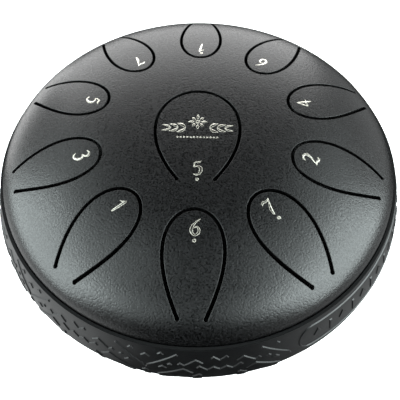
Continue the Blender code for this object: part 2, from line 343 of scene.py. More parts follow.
def inside(points, loop):
    """Which of the (x, y) points lie inside a closed loop."""
    found = np.zeros(len(points), bool)
    near = ((points >= loop.min(axis=0)) & (points <= loop.max(axis=0))).all(axis=1)
    x, y = points[near, 0][:, None], points[near, 1][:, None]
    x0, y0 = loop[:, 0], loop[:, 1]
    x1, y1 = np.roll(x0, -1), np.roll(y0, -1)
    rising = (y0 > y) != (y1 > y)
    with np.errstate(divide="ignore", invalid="ignore"):
        crossing = x < (x1 - x0) * (y - y0) / (y1 - y0) + x0
    found[near] = (rising & crossing).sum(axis=1) % 2 == 1
    return found


def in_odd_count(points, loops):
    """Which points lie inside an odd number of the loops, so within an outline but not in its holes."""
    return sum(inside(points, loop).astype(int) for loop in loops) % 2 == 1


def hex_grid(low, high, spacing):
    """(x, y) points at the corners of even triangles, over the box from low to high."""
    row = spacing * math.sqrt(3) / 2
    points = [
        (x, y)
        for i, y in enumerate(np.arange(low[1], high[1] + row, row))
        for x in np.arange(low[0] + (i % 2) * spacing / 2, high[0] + spacing, spacing)
    ]
    return np.array(points)


def triangulate(loops, spacing):
    """Points and anticlockwise triangles that fill the loops. The loops' own points come first."""
    border = np.concatenate(loops)
    grid = hex_grid(border.min(axis=0), border.max(axis=0), spacing)
    grid = grid[in_odd_count(grid, loops)]
    near = np.array([np.min(np.hypot(*(border - p).T)) for p in grid])
    points = np.concatenate([border, grid[near > BORDER_CLEARANCE * spacing]]) if len(grid) else border
    edges, first = [], 0
    for loop in loops:
        count = len(loop)
        edges += [(first + i, first + (i + 1) % count) for i in range(count)]
        first += count
    made = delaunay_2d_cdt([Vector(p) for p in points], edges, [], 0, TINY_LENGTH)
    source = [origins[0] for origins in made[3]]
    triangles = np.array([[source[i] for i in face] for face in made[2]])
    corners = points[triangles]
    ab, ac = corners[:, 1] - corners[:, 0], corners[:, 2] - corners[:, 0]
    area = ab[:, 0] * ac[:, 1] - ab[:, 1] * ac[:, 0]
    triangles[area < 0] = triangles[area < 0][:, ::-1]
    keep = in_odd_count(corners.mean(axis=1), loops) & (np.abs(area) > TINY_AREA)
    return points, triangles[keep]


def add_walls(shape, wall, flare, top, bottom, hole):
    """The rounded edge and the wall of a cut, between the ring on the sheet's top and the ring under it."""
    round_in = EDGE_ROUND * (1 - math.sqrt(0.5))
    middle = on_dome(wall + flare * round_in)
    middle[:, 2] -= round_in
    low = on_dome(wall)
    low[:, 2] -= EDGE_ROUND
    dome = dome_normals(wall + flare * EDGE_ROUND)
    away = np.column_stack([-flare, np.zeros(len(flare))])
    between = (dome + away) / math.sqrt(2)
    rings = [top, shape.add_points(middle), shape.add_points(low), bottom]
    looks = [dome, between, away, away]
    known = flare.any(axis=1)
    count = len(wall)
    for r in range(3):
        for i in range(count):
            j = (i + 1) % count
            order = ((r, i), (r + 1, i), (r + 1, j), (r, j))
            if hole:
                order = order[::-1]
            corners = [rings[a][b] for a, b in order]
            normals = [looks[a][b] if known[i] and known[j] else (0, 0, 0) for a, b in order]
            shape.add_face(corners, normals)


def add_sheet(shape, outline, holes, spacing):
    """Both faces of a piece of the dome. Returns each loop's point numbers on top and underneath."""
    walls = [outline, *holes]
    flared = [wall + flare * EDGE_ROUND for wall, flare in walls]
    flat, triangles = triangulate(flared, spacing)
    count = sum(len(wall) for wall, _ in walls)
    lower = flat.copy()
    lower[:count] = np.concatenate([wall for wall, _ in walls])
    top = shape.add_points(on_dome(flat))
    bottom = shape.add_points(under_dome(lower))
    normals = dome_normals(flat)
    for tri in triangles:
        shape.add_face(top[tri], normals[tri])
        shape.add_face(bottom[tri][::-1], -normals[tri][::-1])
    rings, first = [], 0
    for wall, _ in walls:
        rings.append((top[first:first + len(wall)], bottom[first:first + len(wall)]))
        first += len(wall)
    return rings


# ---------------- shells and tongues

def fixed_piece(obj, node):
    """obj stands still on the drum, in the place of a node."""
    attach(obj, "drum")
    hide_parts(node)


def flange(up):
    """The flange's (radius, z) corners, of the shell over the joint (up is 1) or under it (-1)."""
    joint = SEAM_Z + up * HALF_JOINT
    back = joint + up * SHEET
    inner = SHELL_RADIUS - SHEET
    return [(SHELL_RADIUS, back), (FLANGE_RADIUS, back), (FLANGE_RADIUS, joint), (inner, joint)]


def make_top_shell(tongues, coat):
    shape = Shape()
    openings = [slot_loops(tongue)[1] for tongue in tongues]
    circle = ring_points(PLATE_RADIUS, 0)[:, :2]
    rings = add_sheet(shape, (circle, np.zeros_like(circle)), openings, PLATE_SPACING)
    for (wall, flare), (top, bottom) in zip(openings, rings[1:]):
        add_walls(shape, wall, flare, top, bottom, hole=True)
    across = DOME_POWERS[0]
    start = math.asin((PLATE_RADIUS / SHELL_RADIUS) ** (across / 2))
    curve = superellipse(SHELL_RADIUS, DOME_RISE, DOME_POWERS, start, SHOULDER_RINGS)
    outside = [(r, RIM_Z + z) for r, z, _, _ in curve[1:]]
    inner = [(r - SHEET * nx, RIM_Z + z - SHEET * ny) for r, z, nx, ny in curve[:0:-1]]
    top_ring, bottom_ring = rings[0]
    slide = SHEET * curve[0][2]
    for index in bottom_ring:
        x, y, _ = shape.points[index]
        share = 1 - slide / PLATE_RADIUS
        shape.points[index] = (x * share, y * share, RIM_Z + curve[0][1] - SHEET * curve[0][3])
    lathe(shape, outside + flange(1) + inner, first=top_ring, last=bottom_ring)
    fixed_piece(shape.to_object("top_shell_steel", coat), "top_shell")


def bend_with(obj, tongue):
    """Bakes obj's placement into its mesh."""
    line, _, normal = slot_line(tongue, np.array([1.0]))
    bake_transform(obj)


def make_tongue(tongue, coat):
    shape = Shape()
    wall, flare = slot_loops(tongue)[0]
    top, bottom = add_sheet(shape, (wall, flare), [], PLATE_SPACING)[0]
    add_walls(shape, wall, flare, top, bottom, hole=False)
    obj = shape.to_object(tongue["body"] + "_steel", coat)
    bend_with(obj, tongue)
    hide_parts(tongue["body"])


def make_bottom_shell(coat):
    width = SHELL_RADIUS - BOWL_FLAT_RADIUS
    curve = superellipse(width, BOWL_CURVE_RISE, BOWL_POWERS, 0.0, BOWL_RINGS)
    curve_z = BASE_Z + BOWL_CURVE_RISE
    outside = [(BOWL_FLAT_RADIUS + r, curve_z - z) for r, z, _, _ in curve]
    inner = [(BOWL_FLAT_RADIUS + r - SHEET * nx, curve_z - z + SHEET * ny) for r, z, nx, ny in curve]
    chamfer = 0.0005
    hole_edge = [
        (SOUND_HOLE_RADIUS + chamfer, BASE_Z + SHEET),
        (SOUND_HOLE_RADIUS, BASE_Z + SHEET - chamfer),
        (SOUND_HOLE_RADIUS, BASE_Z + chamfer),
        (SOUND_HOLE_RADIUS + chamfer, BASE_Z),
    ]
    shape = Shape()
    lathe(shape, (outside + flange(-1) + inner[::-1] + hole_edge)[::-1], closed=True)
    fixed_piece(shape.to_object("bottom_shell_steel", coat), "bottom_shell")


# ---------------- band

# The band is laid out flat: x runs round it at BAND_REACH, and h is the height above the widest line.
# Round the band come a capsule panel and three medallions, twice.
BAND_STEPS = 480
BAND_SIDE_STEPS = 19
BAND_REACH = 0.1275
PATTERN_START = math.radians(-66.35)
MEDALLIONS_IN_ROW = 3
PANEL_PITCHES = 2.25
MEDALLION_PITCH = math.pi * BAND_REACH / (MEDALLIONS_IN_ROW + PANEL_PITCHES)
PANEL_LENGTH = PANEL_PITCHES * MEDALLION_PITCH
RELIEF = 0.00050  # height of the raised pattern
RELIEF_SLOPE = 0.00032  # width of its sloping sides
RELIEF_STEP = 0.0025
BAND_TOP = RIM_Z - LIP_HEIGHT - SEAM_Z
BAND_DEPTH = SEAM_Z - BAND_BOTTOM_Z

# A medallion's ribs in millimetres from its middle, for its upper right quarter: half width, then points
MEDALLION_RIBS = (
    (1.25, ((0, 9.9), (3.3, 12.4), (6.4, 9.9), (11.3, 13.9))),
    (1.05, ((0, 17.7), (4.0, 20.9))),
    (1.15, ((9.0, 15.9), (12.2, 18.2), (18.2, 13.7), (21.0, 16.0))),
    (1.25, ((14.2, 6.9), (18.6, 10.5), (31.5, 2.6))),
    (1.15, ((9.6, 5.8), (13.6, 2.6))),
    (0.80, ((21.6, 22.2), (36.4, 11.6), (37.3, 9.0))),
)
MEDALLION_STUDS = ((29.2, 11.2, 2.4), (30.2, 21.6, 1.9), (25.4, 14.6, 1.5))
JUNCTION_STUDS = ((0, 18.6, 2.6), (0, 5.0, 2.2))

# The panel's sizes in millimetres. Its marks are lozenges and bars by turns.
PANEL_MARGIN = 4.1
PANEL_HEIGHT = 14.3
PANEL_RADIUS = 8.4
PANEL_RIM = 1.3
PANEL_MARKS = 17
PANEL_MARK_PITCH = 8.7
PANEL_LOZENGE = ((2.9, 0), (0, 4.2), (-2.9, 0), (0, -4.2))
PANEL_BAR = ((0.9, 4.0), (-0.9, 4.0), (-0.9, -4.0), (0.9, -4.0))


def band_radius(h):
    """Radius of the band's outside, relief included, at height h above its widest line."""
    share = np.clip(np.abs(h) / np.where(h > 0, BAND_TOP, BAND_DEPTH), 0, 1)
    return LIP_RADIUS + (BAND_RADIUS - LIP_RADIUS) * (1 - share**BULGE_POWER)


def band_slope(h):
    height = np.where(h > 0, BAND_TOP, BAND_DEPTH)
    share = np.clip(np.abs(h) / height, 1e-6, 1)
    return -np.sign(h) * (BAND_RADIUS - LIP_RADIUS) * BULGE_POWER * share ** (BULGE_POWER - 1) / height


def on_band(flat, depth):
    """3-D points at (x, h) points of the flat band, below its outside by depth."""
    angle = flat[:, 0] / BAND_REACH + PATTERN_START
    radius = band_radius(flat[:, 1]) - depth
    return np.stack([radius * np.cos(angle), radius * np.sin(angle), SEAM_Z + flat[:, 1]], axis=1)


def band_normals(flat):
    angle = flat[:, 0] / BAND_REACH + PATTERN_START
    slope = band_slope(flat[:, 1])
    normals = np.stack([np.cos(angle), np.sin(angle), -slope], axis=1)
    return normals / np.linalg.norm(normals, axis=1)[:, None]


def left_shift(points, distance, closed=True):
    """Points moved to the left of their run, with mitred corners."""
    ahead = np.roll(points, -1, axis=0) - points
    ahead /= np.linalg.norm(ahead, axis=1)[:, None]
    if not closed:
        ahead[-1] = ahead[-2]
    behind = np.roll(ahead, 1, axis=0)
    if not closed:
        behind[0] = ahead[0]
    first = np.stack([-behind[:, 1], behind[:, 0]], axis=1)
    second = np.stack([-ahead[:, 1], ahead[:, 0]], axis=1)
    return points + distance * (first + second) / (1 + (first * second).sum(axis=1))[:, None]


def anticlockwise(loop):
    x, y = loop[:, 0], loop[:, 1]
    return loop if (x * np.roll(y, -1) - np.roll(x, -1) * y).sum() > 0 else loop[::-1]


def in_steps(loop):
    """The loop with points added along its sides."""
    out = []
    for here, there in zip(loop, np.roll(loop, -1, axis=0)):
        count = max(1, math.ceil(np.linalg.norm(there - here) / RELIEF_STEP))
        out += [here + (there - here) * i / count for i in range(count)]
    return np.array(out)


def rib(line, half_width):
    """The outline of a raised line."""
    line = np.asarray(line, float)
    left = left_shift(line, half_width, closed=False)
    right = left_shift(line, -half_width, closed=False)
    return anticlockwise(np.concatenate([left, right[::-1]]))


def stud(x, h, size):
    """The outline of a small raised lozenge."""
    return np.array([(x + size, h), (x, h + 0.8 * size), (x - size, h), (x, h - 0.8 * size)])


def capsule(x0, x1, h, radius, steps=12):
    turn = np.linspace(-math.pi / 2, math.pi / 2, steps + 1)
    arc = radius * np.stack([np.cos(turn), np.sin(turn)], axis=1)
    return np.concatenate([arc + (x1 - radius, h), (x0 + radius, h) - arc])


def medallion_loops():
    """One medallion round (0, 0), in millimetres."""
    loops = []
    for half_width, line in MEDALLION_RIBS:
        line = np.array(line)
        if line[0, 0] == 0:
            whole = np.concatenate([line[:0:-1] * (-1, 1), line])
            loops.append(rib(whole, half_width))
        else:
            loops += [rib(line, half_width), rib(line * (-1, 1), half_width)]
    for x, h, size in MEDALLION_STUDS:
        loops += [stud(x, h, size), stud(-x, h, size)]
    return loops


def panel_loops(length):
    """The capsule panel with its raised rim and its row of lozenges, from x = 0, in millimetres."""
    start, end = PANEL_MARGIN, length - PANEL_MARGIN
    loops = [
        capsule(start, end, PANEL_HEIGHT, PANEL_RADIUS),
        capsule(start + PANEL_RIM, end - PANEL_RIM, PANEL_HEIGHT, PANEL_RADIUS - PANEL_RIM)[::-1],
    ]
    for i in range(PANEL_MARKS):
        middle = (length / 2 + (i - (PANEL_MARKS - 1) / 2) * PANEL_MARK_PITCH, PANEL_HEIGHT)
        loops.append(np.array(PANEL_BAR if i % 2 else PANEL_LOZENGE) + middle)
    return loops


def relief_loops():
    """Every raised outline round the band, in metres, with the raised side on its left."""
    pitch, panel = MEDALLION_PITCH * 1000, PANEL_LENGTH * 1000
    upper = []
    for half in range(2):
        start = half * math.pi * BAND_REACH * 1000
        upper += [loop + (start, 0) for loop in panel_loops(panel)]
        for i in range(MEDALLIONS_IN_ROW):
            middle = start + panel + (i + 0.5) * pitch
            upper += [loop + (middle, 0) for loop in medallion_loops()]
            if i:
                upper += [stud(middle - pitch / 2 + x, h, size) for x, h, size in JUNCTION_STUDS]
    lower = [(loop * (1, -1))[::-1] for loop in upper]
    return [in_steps(loop / 1000) for loop in upper + lower]


BAND_EDGE = 0.0004  # size of the bevels at the band's edges
# The rows in LIP_ROWS take the lip's darker, less glossy copy of the band's rubber, which is painted shade.
LIP_ROWS = (0, 1, 2, 3)  # rows of faces, from the top of the band's inside to the lip's outer edge


def make_band(rubber, lip_painted_shade):
    shape = Shape()
    around = math.tau * BAND_REACH
    low, high = -BAND_DEPTH + 2 * BAND_EDGE, BAND_TOP - BAND_EDGE
    xs = np.linspace(0, around, BAND_STEPS + 1)
    side = np.linspace(low, high, BAND_SIDE_STEPS + 1)[1:-1]
    border = np.concatenate([
        np.column_stack([xs[:-1], np.full(BAND_STEPS, low)]),
        [(around, low)],
        np.column_stack([np.full(len(side), around), side]),
        [(around, high)],
        np.column_stack([xs[-2:0:-1], np.full(BAND_STEPS - 1, high)]),
        [(0, high)],
        np.column_stack([np.zeros(len(side)), side[::-1]]),
    ])
    bases = relief_loops()
    tops = [left_shift(loop, RELIEF_SLOPE) for loop in bases]
    ground, ground_faces = triangulate([border, *bases], RELIEF_STEP)
    raised, raised_faces = triangulate(tops, RELIEF_STEP)
    ground_ids = shape.add_points(on_band(ground, RELIEF))
    right = BAND_STEPS + np.arange(len(side) + 2)
    left = np.r_[0, len(border) - 1 - np.arange(len(side) + 1)]
    ground_ids[right] = ground_ids[left]
    raised_ids = shape.add_points(on_band(raised, 0))
    for ids, faces, normals in (
        (ground_ids, ground_faces, band_normals(ground)),
        (raised_ids, raised_faces, band_normals(raised)),
    ):
        for face in faces:
            shape.add_face(ids[face], normals[face])
    first = 0
    for loop in bases:
        count = len(loop)
        outer = ground_ids[len(border) + first:len(border) + first + count]
        inner = raised_ids[first:first + count]
        for i in range(count):
            j = (i + 1) % count
            shape.add_face((outer[i], outer[j], inner[j], inner[i]))
        first += count
    top_row = ground_ids[np.r_[left[-1], BAND_STEPS + len(side) + 2 + np.arange(BAND_STEPS - 1)[::-1]]]
    bottom_row = ground_ids[:BAND_STEPS]
    lip_edge = LIP_RADIUS - RELIEF / 2
    over = [
        (RIM_RADIUS, SEAM_Z + CHANNEL_HALF),
        (RIM_RADIUS, RIM_Z - BAND_EDGE),
        (RIM_RADIUS + BAND_EDGE / 2, RIM_Z),
        (lip_edge - BAND_EDGE / 2, RIM_Z),
        (lip_edge, RIM_Z - BAND_EDGE / 2),
        (lip_edge, RIM_Z - LIP_HEIGHT),
    ]
    under = [
        (RIM_RADIUS + BAND_EDGE, BAND_BOTTOM_Z),
        (RIM_RADIUS, BAND_BOTTOM_Z + BAND_EDGE),
        (RIM_RADIUS, SEAM_Z - CHANNEL_HALF),
        (CHANNEL_RADIUS - 2 * GAP, SEAM_Z - CHANNEL_HALF),
        (CHANNEL_RADIUS - 2 * GAP, SEAM_Z + CHANNEL_HALF),
    ]
    start = PATTERN_START
    closing = shape.add_points(ring_points(*over[0], BAND_STEPS, start))
    lathe(shape, over[1:], BAND_STEPS, first=closing, last=top_row, start=start, second_look=LIP_ROWS)
    lathe(shape, under, BAND_STEPS, first=bottom_row, last=closing, start=start)
    fixed_piece(shape.to_object("band_rubber", rubber, lip_painted_shade), "rim_band")


# ---------------- feet

FOOT_TOP_RADIUS = 0.0110
FOOT_BOTTOM_RADIUS = 0.0098
FOOT_RECESS_RADIUS = 0.0048
FOOT_RECESS = 0.0038
FOOT_THREAD = 0.0020  # radius
FOOT_HEAD = (0.0040, 0.0024)  # radius and height
FOOT_SHANK = 0.0105
FOOT_STEPS = 64
SCREW_STEPS = 36
SOCKET_RADIUS = 0.45  # of the head's radius
SOCKET_DEPTH = 0.6  # of the head's height
SOCKET_BEVEL = 0.0001
CROWN = 0.3  # of the head's height
CROWN_STEPS = 6
TIP = 0.66  # of the thread's radius
THREAD_START = 0.0010  # above the screw's seat
THREAD_END = 0.0012  # below its tip
THREAD_PITCH = 0.0007
THREAD_DEPTH = 0.16  # of the thread's radius


def placed(shape, name, node, material):
    """Puts a shape made round the origin on the axis of the node that it replaces."""
    obj = shape.to_object(name, material)
    low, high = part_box(node)
    obj.location = ((low.x + high.x) / 2, (low.y + high.y) / 2, 0)
    fixed_piece(obj, node)


def make_foot(number, rubber):
    top, bore = BASE_Z - GAP, FOOT_THREAD + GAP
    corners = [
        (FOOT_RECESS_RADIUS, FOOT_RECESS, 0.0002),
        (bore, FOOT_RECESS, 0.0002),
        (bore, top, 0.0002),
        (FOOT_TOP_RADIUS, top, 0.0006),
        (FOOT_BOTTOM_RADIUS, 0.0, 0.0012),
        (FOOT_RECESS_RADIUS, 0.0, 0.0006),
    ]
    shape = Shape()
    lathe(shape, rounded(corners), FOOT_STEPS, closed=True)
    placed(shape, f"foot_{number}_rubber", f"foot_{number}", rubber)


def hexagon_ring(corner_radius, z, steps):
    """Points round a hexagon, evenly turned so that they pair with a circle's."""
    angles = np.arange(steps) * math.tau / steps
    reach = corner_radius * math.cos(math.pi / 6) / np.cos((angles % (math.pi / 3)) - math.pi / 6)
    return ring_points(reach, z, steps)


def make_foot_screw(number, zinc):
    """A pan-head screw, head down, with a hexagon socket and a shallow thread."""
    radius, height = FOOT_HEAD
    seat = FOOT_RECESS - GAP
    face = seat - height
    socket, depth = SOCKET_RADIUS * radius, SOCKET_DEPTH * height
    shape = Shape()
    rings = [add_ring(shape, 0, face + depth)]
    for r, z in ((socket, face + depth), (socket, face + SOCKET_BEVEL), (socket + SOCKET_BEVEL, face)):
        rings.append(shape.add_points(hexagon_ring(r, z, SCREW_STEPS)))
    crown = CROWN * height
    profile = [(radius - crown, face)]
    for i in range(1, CROWN_STEPS):
        turn = i * math.pi / 2 / CROWN_STEPS
        profile.append((radius - crown + crown * math.sin(turn), face + crown - crown * math.cos(turn)))
    start, tip = seat + THREAD_START, seat + FOOT_SHANK
    profile += [(radius, face + crown), (radius, seat), (FOOT_THREAD, seat), (FOOT_THREAD, start)]
    for z in np.arange(start, tip - THREAD_END, THREAD_PITCH):
        root = FOOT_THREAD * (1 - THREAD_DEPTH)
        profile += [(root, z + THREAD_PITCH / 2), (FOOT_THREAD, z + THREAD_PITCH)]
    profile += [(FOOT_THREAD * TIP, tip), (0.0, tip)]
    rings += [add_ring(shape, r, z, SCREW_STEPS) for r, z in profile]
    join_rings(shape, rings[::-1])
    placed(shape, f"foot_screw_{number}_zinc", f"foot_screw_{number}", zinc)


# ---------------- engraved numerals and ornament

NUMERAL_OUT = 0.0105  # from a tongue's nose
CENTRE_NUMERAL_OUT = 0.0301  # from the drum's axis
NUMERAL_SCATTER = 0.0006
NUMERAL_LEAN = math.radians(4)
# A stroke's heights over the dome: its top, the foot of its sloping sides, and its underside in the steel
STROKE_TOP = 0.00004
STROKE_ROOT = -0.00006
STROKE_FOOT = -0.00012
# In millimetres
STROKE_STEP = 0.35
STROKE_EDGE = 0.34
STROKE_EDGE_SHARE = 0.7  # of the half width, at most
STROKE_WIDER = 0.14
DOT_RADIUS = 0.70
DOT_HALF_WIDTH = 0.26
DOT_BELOW = -7.2
DOT_ABOVE = 6.0
PETALS = 8
LEAF_PAIRS = 3
DIVIDER_DOTS = 13

# Pen strokes of each numeral in millimetres, 9.4 tall: (x, y, half width of the stroke)
NUMERALS = {
    "1": (
        ((1.5, 4.5, 0.35), (0.9, 2.6, 0.75), (-0.1, -1.2, 0.70), (-1.0, -4.5, 0.45)),
        ((1.3, 4.3, 0.15), (0.0, 3.2, 0.35), (-1.7, 2.6, 0.15)),
    ),
    "2": (
        ((-2.2, 2.5, 0.30), (-1.5, 4.1, 0.50), (0.3, 4.5, 0.60), (1.9, 3.2, 0.80), (1.2, 0.9, 0.70),
         (-0.7, -1.5, 0.45), (-2.6, -4.0, 0.20)),
        ((-2.6, -4.0, 0.20), (-0.9, -3.5, 0.55), (0.9, -4.3, 0.70), (2.7, -3.3, 0.20)),
    ),
    "3": (
        ((-2.0, 3.6, 0.25), (-0.4, 4.5, 0.50), (1.6, 3.7, 0.75), (1.4, 1.9, 0.60), (-0.3, 0.7, 0.25)),
        ((-0.3, 0.7, 0.25), (1.8, 0.2, 0.65), (2.3, -2.1, 0.85), (0.6, -4.3, 0.60), (-1.3, -4.2, 0.45),
         (-2.3, -2.9, 0.30)),
    ),
    "4": (
        ((1.4, 4.5, 0.25), (1.1, 1.0, 0.65), (0.6, -4.5, 0.40)),
        ((1.4, 4.5, 0.20), (-0.8, 1.6, 0.40), (-2.8, -1.2, 0.25)),
        ((-2.8, -1.2, 0.25), (-0.4, -1.0, 0.55), (2.7, -1.5, 0.20)),
    ),
    "5": (
        ((2.6, 4.4, 0.20), (1.2, 3.9, 0.60), (-0.9, 4.1, 0.35)),
        ((-0.9, 4.1, 0.25), (-1.3, 2.5, 0.40), (-1.6, 0.8, 0.25)),
        ((-1.6, 0.8, 0.20), (0.4, 1.3, 0.50), (2.1, 0.0, 0.85), (1.9, -2.5, 0.80), (0.2, -4.3, 0.50),
         (-2.0, -3.7, 0.35)),
    ),
    "6": (
        ((2.4, 4.6, 0.20), (0.6, 3.0, 0.40), (-1.3, 0.6, 0.70), (-1.8, -2.2, 0.85), (-0.2, -4.2, 0.55),
         (1.8, -3.2, 0.70), (2.0, -1.0, 0.65), (0.9, 0.3, 0.40), (-0.7, -0.5, 0.20)),
    ),
    "7": (
        ((-2.6, 2.9, 0.25), (-1.4, 4.0, 0.65), (0.7, 3.6, 0.60), (2.7, 4.4, 0.25)),
        ((2.7, 4.4, 0.20), (1.1, 1.4, 0.50), (-0.2, -1.5, 0.80), (-0.7, -4.5, 0.50)),
    ),
}
# Note: its numeral, and the height of the dot that marks its octave
NOTE_MARKS = {
    "a3": ("5", DOT_BELOW), "b3": ("6", DOT_BELOW), "cs4": ("7", DOT_BELOW), "d4": ("1", None),
    "e4": ("2", None), "fs4": ("3", None), "g4": ("4", None), "a4": ("5", None), "b4": ("6", None),
    "cs5": ("7", None), "d5": ("1", DOT_ABOVE),
}


def smooth_through(points, step):
    """Catmull-Rom points through a stroke's points."""
    points = np.asarray(points, float)
    padded = np.concatenate([[2 * points[0] - points[1]], points, [2 * points[-1] - points[-2]]])
    out = []
    for a, b, c, d in zip(padded, padded[1:], padded[2:], padded[3:]):
        count = max(2, math.ceil(np.linalg.norm((c - b)[:2]) / step))
        for u in np.arange(count) / count:
            bend = (2 * a - 5 * b + 4 * c - d) * u**2 + (3 * b - a - 3 * c + d) * u**3
            out.append(b + 0.5 * ((c - a) * u + bend))
    return np.array([*out, points[-1]])


def circle_stroke(radius, half_width, steps=20):
    ring = ring_points(radius, half_width, steps)
    return np.vstack([ring, ring[:1]])


def add_stroke(shape, line, place):
    """A low ridge with sloping sides along (x, y, half width) points, which place puts on the drum."""
    along = np.gradient(line[:, :2], axis=0)
    closed = np.allclose(line[0], line[-1])
    if closed:
        along[0] = along[-1] = line[1, :2] - line[-2, :2]
    along /= np.linalg.norm(along, axis=1)[:, None]
    across = np.stack([-along[:, 1], along[:, 0]], axis=1)
    half = line[:, 2:3] + STROKE_WIDER
    top = half - np.minimum(STROKE_EDGE, STROKE_EDGE_SHARE * half)
    left = ((half, STROKE_ROOT), (top, STROKE_TOP))
    right = ((-top, STROKE_TOP), (-half, STROKE_ROOT))
    under = ((-half, STROKE_FOOT), (half, STROKE_FOOT))
    rings = []
    for offset, lift in left + right + under:
        flat = line[:, :2] + across * offset
        rings.append(shape.add_points(on_dome(place(flat), lift)))
    count = len(line) - 1
    for k, (first, second) in enumerate(zip(rings, rings[1:] + rings[:1])):
        # The sloping sides and the underside take the rim's painted highlight, and the flat top the etched
        # metal.
        look = 0 if k == 1 else 1  # the flat top, or the sides and the underside
        for i in range(count):
            j = 0 if closed and i == count - 1 else i + 1
            shape.add_face((first[i], second[i], second[j], first[j]), look=look)
    if not closed:
        shape.add_face([ring[0] for ring in rings][::-1], look=1)
        shape.add_face([ring[-1] for ring in rings], look=1)


def mark_place(tongue, distance, lean=0.0, shift=0.0):
    """A function that puts a mark's (x, y) millimetres on the drum, with its top to the drum's middle."""
    out = np.array([math.cos(tongue["angle"]), math.sin(tongue["angle"])])
    side = np.array([-out[1], out[0]])

    def place(flat):
        turned_flat = turned(flat, lean) / 1000
        return out * (distance - turned_flat[:, 1:]) + side * (turned_flat[:, :1] + shift)

    return place


def finish_mark(shape, name, tongue, looks):
    obj = shape.to_object(name, *looks)
    bend_with(obj, tongue)


def make_numeral(tongue, looks, random):
    note = tongue["body"].split("_")[1]
    digit, dot = NOTE_MARKS[note]
    centre = tongue["body"] == CENTRE_NAME
    scatter, lean, shift = random.uniform(-1, 1, 3)
    distance = CENTRE_NUMERAL_OUT if centre else tongue["nose"] + NUMERAL_OUT + scatter * NUMERAL_SCATTER
    place = mark_place(tongue, distance, lean * NUMERAL_LEAN, shift * NUMERAL_SCATTER)
    shape = Shape()
    for stroke in NUMERALS[digit]:
        add_stroke(shape, smooth_through(stroke, STROKE_STEP), place)
    if dot:
        add_stroke(shape, circle_stroke(DOT_RADIUS, DOT_HALF_WIDTH) + (0, dot, 0), place)
    finish_mark(shape, "numeral_" + note, tongue, looks)


def ornament_strokes():
    """A plain divider in millimetres: a flower, leaves that shrink to both sides, and a row of dots."""
    flower = (0, 3.0, 0)
    strokes = [circle_stroke(1.0, 0.45) + flower]
    for i in range(PETALS):
        turn = i * math.tau / PETALS
        reach = 5.6 if i % 2 == 0 else 4.8
        spots = ((2.0, 0.20), (0.55 * reach + 0.6, 0.90), (reach, 0.20))
        strokes.append(np.array([(r * math.cos(turn), r * math.sin(turn), w) for r, w in spots]) + flower)
    for side in (-1, 1):
        for k in range(LEAF_PAIRS):
            x, size = 7.0 + 4.3 * k, 1 - 0.17 * k
            for tip in (-1, 1):
                middle = (x + 2.0, 2.2 * size * tip, 1.05 * size)
                spots = ((x, 0, 0.25), middle, (x + 5.0, 3.2 * size * tip, 0.2))
                strokes.append(np.array([(side * px, py - 1.6, w) for px, py, w in spots]))
    for i in range(DIVIDER_DOTS):
        strokes.append(circle_stroke(0.36, 0.24, 12) + ((i - DIVIDER_DOTS // 2) * 1.9, -8.6, 0))
    return strokes


def make_ornament(tongue, looks):
    place = mark_place(tongue, 0.0)
    shape = Shape()
    for stroke in ornament_strokes():
        closed = np.allclose(stroke[0], stroke[-1])
        add_stroke(shape, stroke if closed else smooth_through(stroke, STROKE_STEP), place)
    finish_mark(shape, "centre_ornament", tongue, looks)


# ---------------- materials

NOISE_SPAN = (0.3, 0.7)  # nearly all of a noise's values lie within it


def new_material(name):
    material = bpy.data.materials.new(name)
    material.use_nodes = True
    tree = material.node_tree
    return material, tree, tree.nodes["Principled BSDF"], tree.nodes.new("ShaderNodeTexCoord")


def noise(tree, coords, scale, detail):
    node = tree.nodes.new("ShaderNodeTexNoise")
    node.inputs["Scale"].default_value = scale
    node.inputs["Detail"].default_value = detail
    tree.links.new(coords.outputs["Object"], node.inputs["Vector"])
    return node.outputs["Fac"]


def ramp(tree, source, *stops):
    """The source's values as colours. The two stops are (position, colour)."""
    node = tree.nodes.new("ShaderNodeValToRGB")
    for element, (position, colour) in zip(node.color_ramp.elements, stops):
        element.position = position
        element.color = (*colour, 1)
    tree.links.new(source, node.inputs["Fac"])
    return node.outputs["Color"]


def map_range(tree, source, span, values, interpolation="LINEAR"):
    node = tree.nodes.new("ShaderNodeMapRange")
    node.interpolation_type = interpolation
    for socket, value in zip(("From Min", "From Max", "To Min", "To Max"), (*span, *values)):
        node.inputs[socket].default_value = value
    tree.links.new(source, node.inputs["Value"])
    return node.outputs["Result"]


def add_bump(tree, shader, source, strength, distance, below=None):
    node = tree.nodes.new("ShaderNodeBump")
    node.inputs["Strength"].default_value = strength
    node.inputs["Distance"].default_value = distance
    tree.links.new(source, node.inputs["Height"])
    if below:
        tree.links.new(below.outputs["Normal"], node.inputs["Normal"])
    tree.links.new(node.outputs["Normal"], shader.inputs["Normal"])
    return node


def powder_coat():
    """Pale flecks on black, and a pebbled surface over a coarser unevenness."""
    material, tree, shader, coords = new_material("powder_coat")
    grain = noise(tree, coords, 1050, 1.0)
    fleck = noise(tree, coords, 1500, 0.0)
    tint = ramp(tree, fleck, (0.46, (0.0001, 0.0001, 0.0001)), (0.62, (0.0064, 0.0062, 0.0066)))
    tree.links.new(tint, shader.inputs["Base Color"])
    tree.links.new(map_range(tree, grain, NOISE_SPAN, (0.22, 0.38)), shader.inputs["Roughness"])
    peel = add_bump(tree, shader, noise(tree, coords, 420, 1.0), 0.10, 0.0002)
    add_bump(tree, shader, grain, 0.8, 0.00015, peel)
    return material


